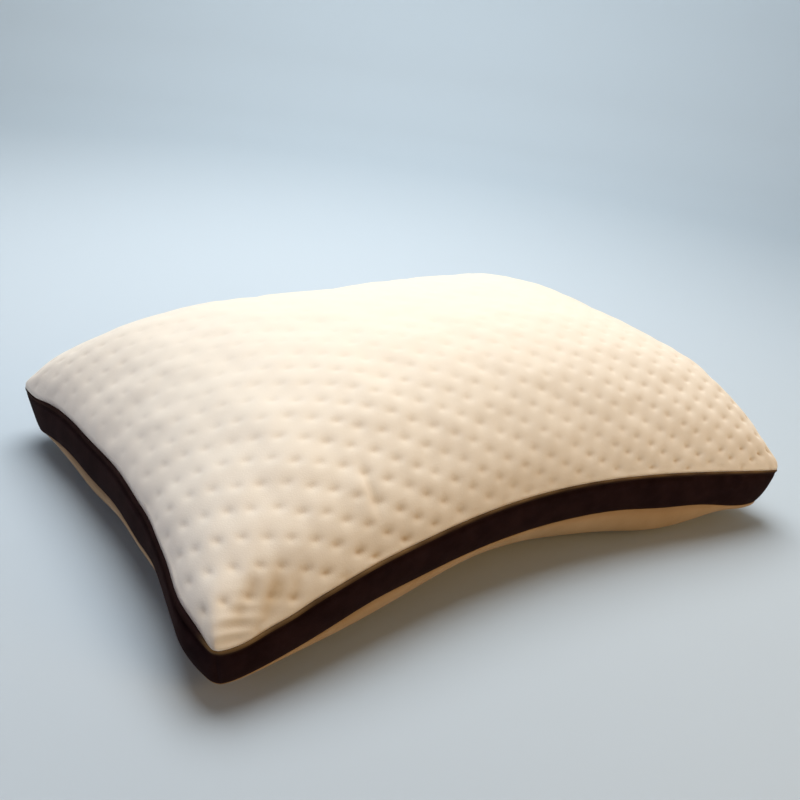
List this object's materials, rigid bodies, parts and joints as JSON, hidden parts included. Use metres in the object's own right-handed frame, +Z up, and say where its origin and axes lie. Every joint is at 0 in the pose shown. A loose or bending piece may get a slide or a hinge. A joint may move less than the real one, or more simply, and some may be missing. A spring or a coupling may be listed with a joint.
{
  "type": "pillow",
  "caption": "Filled pillow with a crowned dimpled knit top, a dark side band and a plain bottom, its sides drawn in between pointed corners.",
  "frame": {"origin": "under the middle of the pillow, on the surface that it lies on", "axes": "+X along the long sides, +Y along the short sides towards the back, +Z up out of the top panel"},
  "size_m": [0.6099, 0.4191, 0.1827],
  "materials": {
    "dimpled_knit": "matte cream double knit with a pressed dimple pattern",
    "band_cloth": "matte near-black brown brushed cloth",
    "plain_knit": "matte smooth beige cloth"
  },
  "bodies": {
    "root": {"top_panel": "dimpled_knit", "side_band": "band_cloth", "bottom_panel": "plain_knit"}
  },
  "joints": []
}
